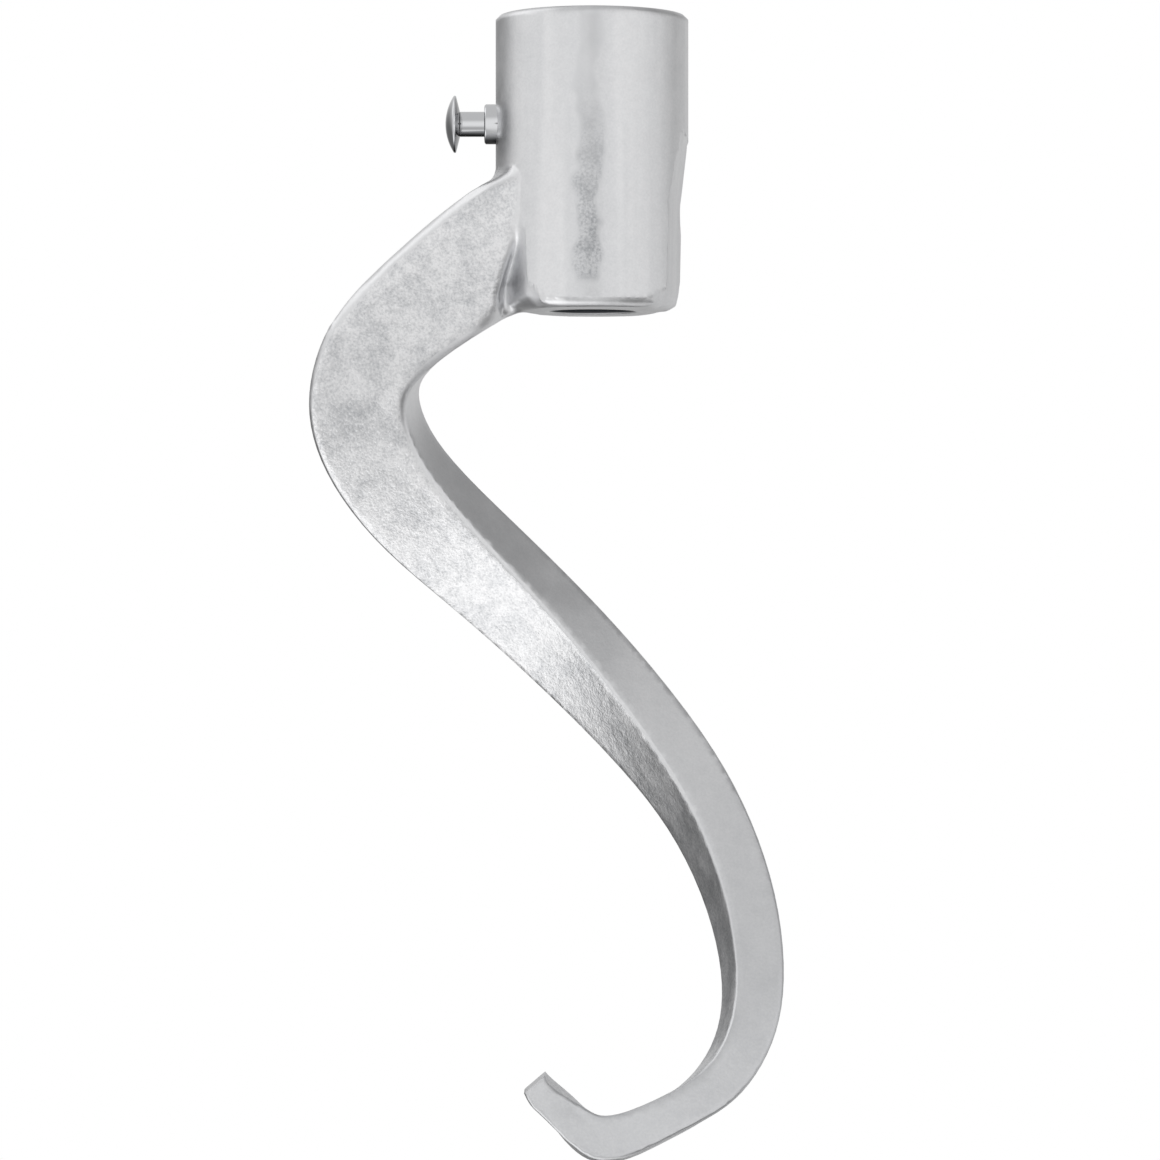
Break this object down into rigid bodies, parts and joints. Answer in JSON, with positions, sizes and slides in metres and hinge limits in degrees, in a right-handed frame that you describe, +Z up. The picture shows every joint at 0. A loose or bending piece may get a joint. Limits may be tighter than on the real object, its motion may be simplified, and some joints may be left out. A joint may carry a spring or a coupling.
{
  "type": "dough hook",
  "caption": "Spiral dough hook for a planetary stand mixer: bored hub, twisted arm that tapers and curls under it, and a sprung pull pin that locks it on the drive shaft.",
  "frame": {"origin": "on the shaft bore's axis, at the hub's top face", "axes": "+Z up the bore, out of the hub's top; -X out along the pull pin; -Y towards the viewer of the picture"},
  "size_m": [0.0951, 0.0534, 0.2278],
  "materials": {
    "cast_aluminium": "tumbled casting",
    "polished_steel": "polished",
    "spring_steel": "drawn wire"
  },
  "bodies": {
    "hook": {"hook_casting": "cast_aluminium", "pin_bushing": "polished_steel", "pin_spring": "spring_steel"},
    "pin": {"lock_pin": "polished_steel", "pull_knob": "polished_steel"}
  },
  "joints": [
    {"name": "pin_pull", "type": "slide", "parent": "hook", "child": "pin", "axis": [-1, 0, 0], "range_m": [0, 0.0045], "stiffness_N_per_m": 1050, "springref_m": -0.005, "deforming": ["pin_spring"]}
  ]
}
